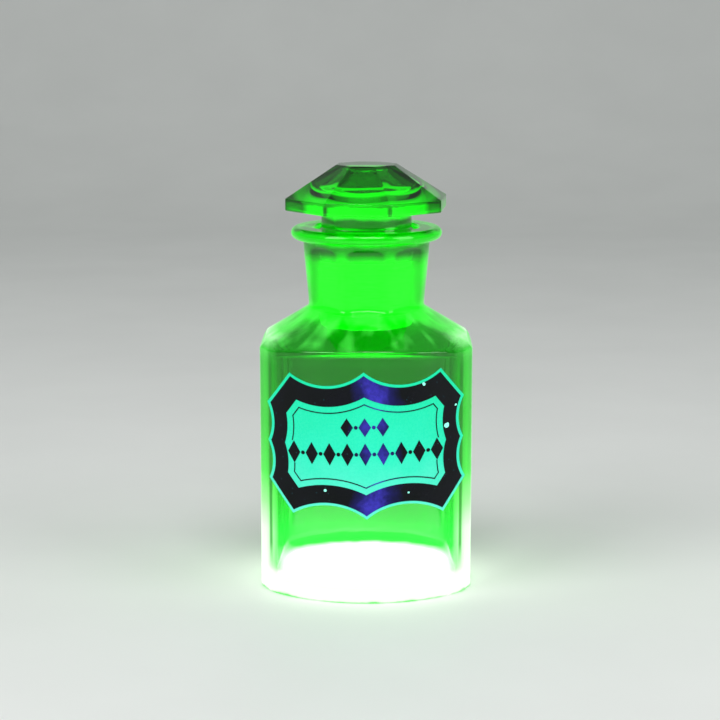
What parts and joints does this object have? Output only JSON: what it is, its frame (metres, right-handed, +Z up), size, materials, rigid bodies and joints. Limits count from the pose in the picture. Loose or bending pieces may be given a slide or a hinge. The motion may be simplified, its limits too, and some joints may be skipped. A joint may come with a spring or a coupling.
{
  "type": "apothecary jar",
  "caption": "Square-bodied uranium glass apothecary jar with a bowed front, a fired enamel label and a faceted ground-glass stopper that lifts out.",
  "frame": {"origin": "middle of the base, on the surface that the jar stands on", "axes": "+Z up through the stopper, -Y out of the bowed front that carries the label, +X to the right seen from the front"},
  "size_m": [0.08, 0.0803, 0.1598],
  "materials": {
    "bottle_glass": "clear uranium glass, fire-polished, ground and frosted inside the neck",
    "stopper_glass": "clear uranium glass with polished facets and a ground plug",
    "label_white": "fired white enamel, semi-gloss",
    "label_black": "fired black enamel, glossy, with a few small chips"
  },
  "bodies": {
    "jar": {"bottle": "bottle_glass", "label_ground": "label_white", "label_band": "label_black", "label_line": "label_black", "label_ornament": "label_black"},
    "stopper": {"stopper": "stopper_glass"}
  },
  "joints": [
    {"name": "stopper_lift", "type": "slide", "parent": "jar", "child": "stopper", "axis": [0, 0, 1], "range_m": [0, 0.06]}
  ]
}
